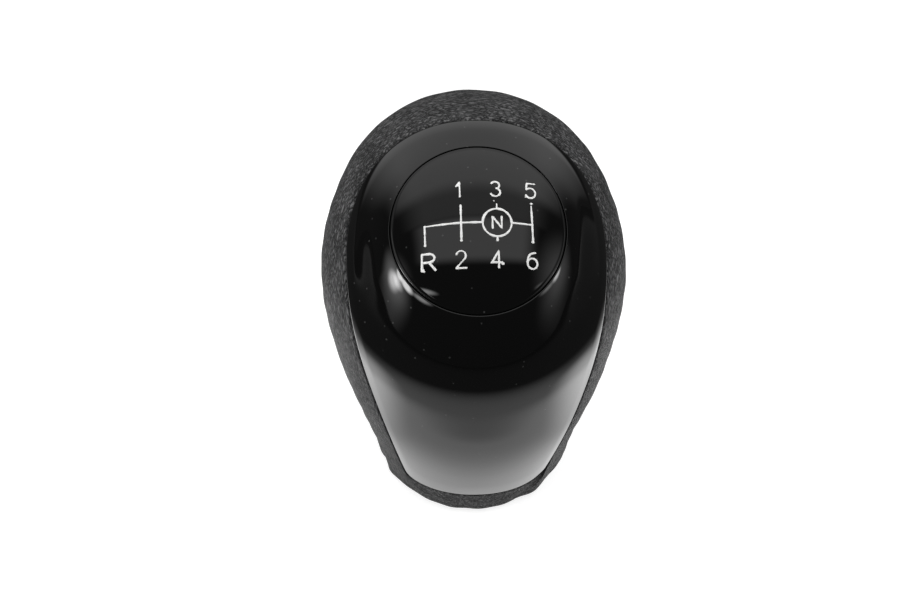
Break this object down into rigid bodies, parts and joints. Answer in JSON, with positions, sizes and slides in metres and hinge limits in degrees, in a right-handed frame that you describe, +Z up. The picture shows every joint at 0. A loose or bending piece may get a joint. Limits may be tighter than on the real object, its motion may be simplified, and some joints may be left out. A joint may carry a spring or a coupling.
{
  "type": "gear shift knob",
  "caption": "Manual gear lever knob with a leather skin, gloss black front trim, round domed shift-pattern disc and a threaded bush in its base.",
  "frame": {"origin": "on the lever axis, at the mouth of the threaded bush in the plane of the base", "axes": "+Z up along the lever axis, -Y towards the front with the trim and the disc, +X to the right seen from the front"},
  "size_m": [0.0524, 0.0606, 0.0638],
  "materials": {
    "leather": "pebbled grain, semi-matt",
    "core_plastic": "moulded",
    "trim_gloss": "piano black",
    "disc_gloss": "piano black with pale filled marks",
    "tape": "foam adhesive",
    "screw_steel": "zinc plated",
    "insert_brass": "turned",
    "ring_plastic": "moulded"
  },
  "bodies": {
    "root": {"leather_cover": "leather", "core": "core_plastic", "front_trim": "trim_gloss", "pattern_disc": "disc_gloss", "disc_tape": "tape", "trim_screws": "screw_steel", "thread_insert": "insert_brass", "base_ring": "ring_plastic"}
  },
  "joints": []
}
